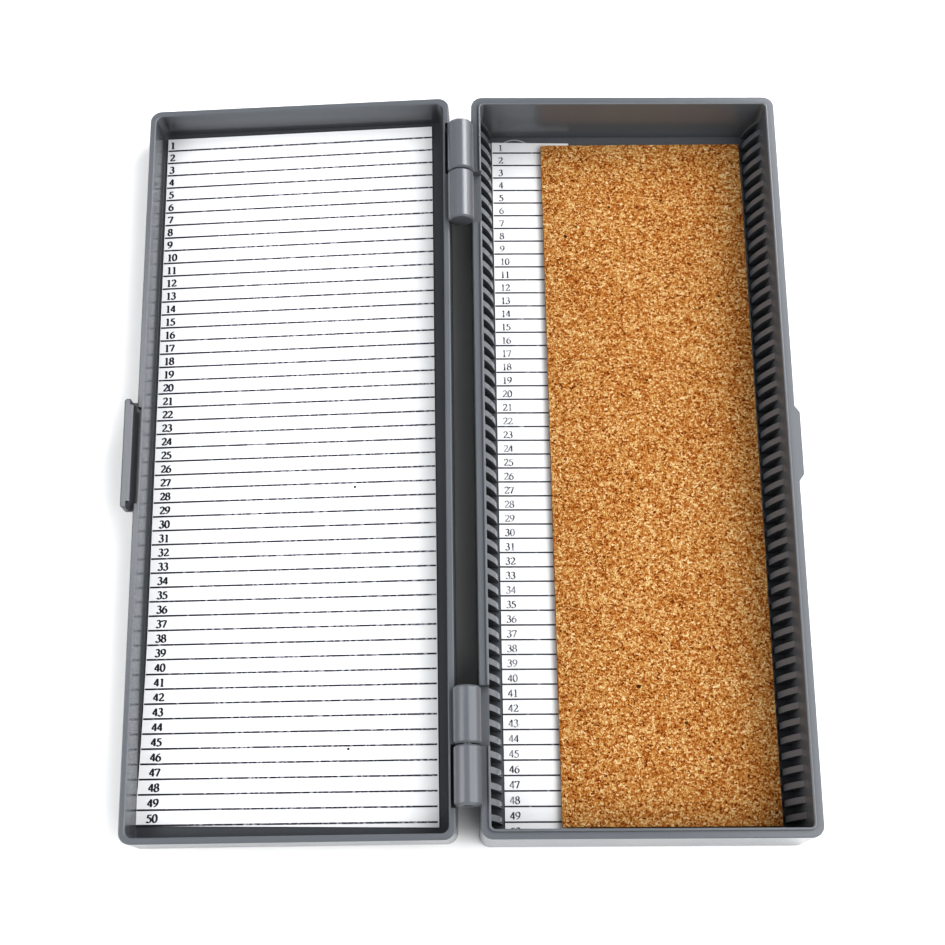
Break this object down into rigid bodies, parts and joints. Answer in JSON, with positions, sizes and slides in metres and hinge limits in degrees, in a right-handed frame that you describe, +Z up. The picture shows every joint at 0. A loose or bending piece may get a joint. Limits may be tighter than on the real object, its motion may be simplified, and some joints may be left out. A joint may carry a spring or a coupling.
{
  "type": "microscope slide storage box",
  "caption": "Flat hinged plastic box with slotted walls that hold microscope slides on edge, a cork-lined floor and numbered index sheets, lying open.",
  "frame": {"origin": "middle of the base's flat underside", "axes": "+Z up, +Y along the hinge side, +X from the hinge towards the base's latch side"},
  "size_m": [0.1774, 0.202, 0.024],
  "materials": {
    "base_plastic": "satin moulded grey ABS",
    "lid_plastic": "satin moulded grey ABS",
    "cork": "pressed cork granules, cut edges",
    "strip_paper": "white printed paper",
    "sheet_paper": "white printed paper",
    "pin_steel": "drawn wire"
  },
  "bodies": {
    "base": {"base_tray": "base_plastic", "cork_liner": "cork", "base_index_strip": "strip_paper", "far_hinge_pin": "pin_steel", "near_hinge_pin": "pin_steel"},
    "lid": {"lid": "lid_plastic", "lid_index_sheet": "sheet_paper"}
  },
  "joints": [
    {"name": "lid_hinge", "type": "hinge", "parent": "base", "child": "lid", "pos_m": [-0.04492, 0, 0.02045], "axis": [0, 1, 0], "range_deg": [0, 185.24]}
  ]
}
